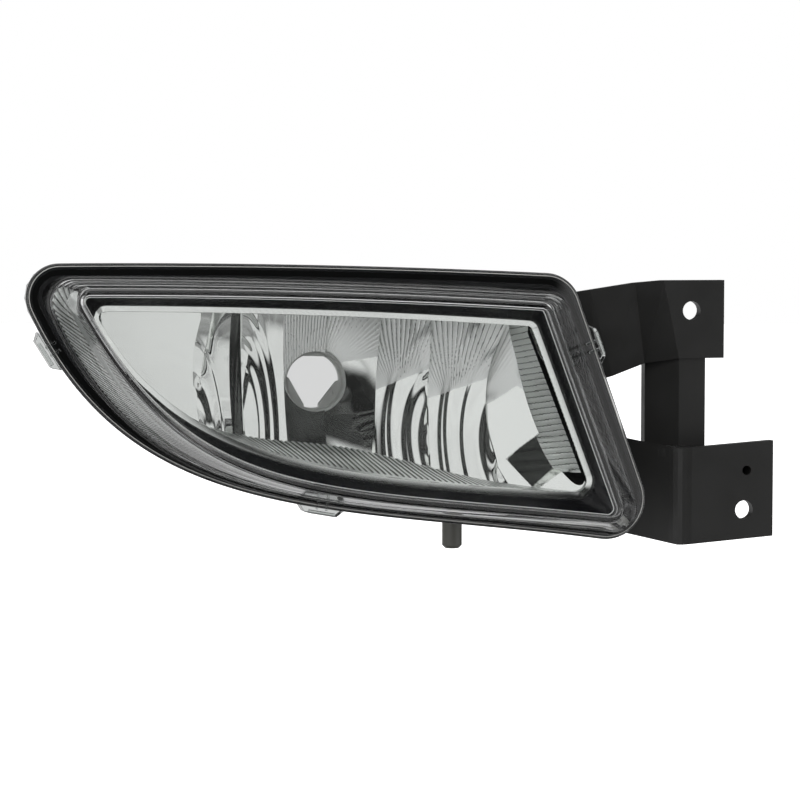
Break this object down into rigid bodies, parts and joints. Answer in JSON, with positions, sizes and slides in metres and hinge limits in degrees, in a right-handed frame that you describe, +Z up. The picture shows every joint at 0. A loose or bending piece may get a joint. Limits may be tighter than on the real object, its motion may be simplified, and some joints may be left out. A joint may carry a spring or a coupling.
{
  "type": "fog light",
  "caption": "Front fog light: clear lens over a faceted mirror reflector in a black housing, on a side bracket with two bolt ears and a vertical aim adjuster.",
  "frame": {"origin": "bulb axis at the rear face of the bulb port ring", "axes": "+X across the lamp towards the bracket ears, +Y backwards along the bulb axis, +Z up; light leaves towards -Y"},
  "size_m": [0.287, 0.0965, 0.1124],
  "materials": {
    "clear_lens": "clear hard-coated polycarbonate",
    "black_seal": "soft black sealant",
    "bezel_black": "smooth black, half gloss",
    "mirror_coat": "vacuum-metallised mirror on plastic",
    "zinc_steel": "zinc plated",
    "port_grey": "light grey heat-resistant plastic",
    "housing_black": "fine-textured black",
    "vent_white": "porous membrane",
    "black_rubber": "matt",
    "nylon_natural": "natural nylon",
    "bracket_black": "glass-filled black, slight sheen",
    "spring_steel": "oiled spring steel",
    "stem_grey": "grey moulded plastic"
  },
  "bodies": {
    "root": {"mounting_bracket": "bracket_black", "pivot_pins": "zinc_steel", "pin_clips": "spring_steel", "stem_bushes": "nylon_natural", "stem_washer": "spring_steel"},
    "lamp": {"lens": "clear_lens", "lens_seal": "black_seal", "bezel": "bezel_black", "fluted_trim": "mirror_coat", "reflector": "mirror_coat", "reflector_screws": "zinc_steel", "bulb_port_ring": "port_grey", "port_seal": "black_seal", "housing": "housing_black", "vent_spigot": "housing_black", "vent_membrane": "vent_white", "vent_cap": "black_rubber", "pivot_bushes": "nylon_natural"},
    "stem": {"adjuster_stem": "stem_grey", "stem_clip": "spring_steel"},
    "nut": {"adjuster_nut": "nylon_natural"}
  },
  "joints": [
    {"name": "lamp_tilt", "type": "hinge", "parent": "root", "child": "lamp", "pos_m": [0.063, 0.003, -0.024], "axis": [1, 0, 0], "range_deg": [-3, 3]},
    {"name": "nut_lift", "type": "slide", "parent": "root", "child": "nut", "axis": [0, 0, 1], "range_m": [-0.0013, 0.0013]},
    {"name": "stem_turn", "type": "hinge", "parent": "root", "child": "stem", "pos_m": [0.064, 0.025, -0.04], "axis": [0, 0, 1], "range_deg": [-290, 290]}
  ],
  "couplings": [
    {"joint": "nut_lift", "follows": "lamp_tilt", "m_per_rad": 0.022},
    {"joint": "stem_turn", "follows": "lamp_tilt", "ratio": -92.15}
  ]
}
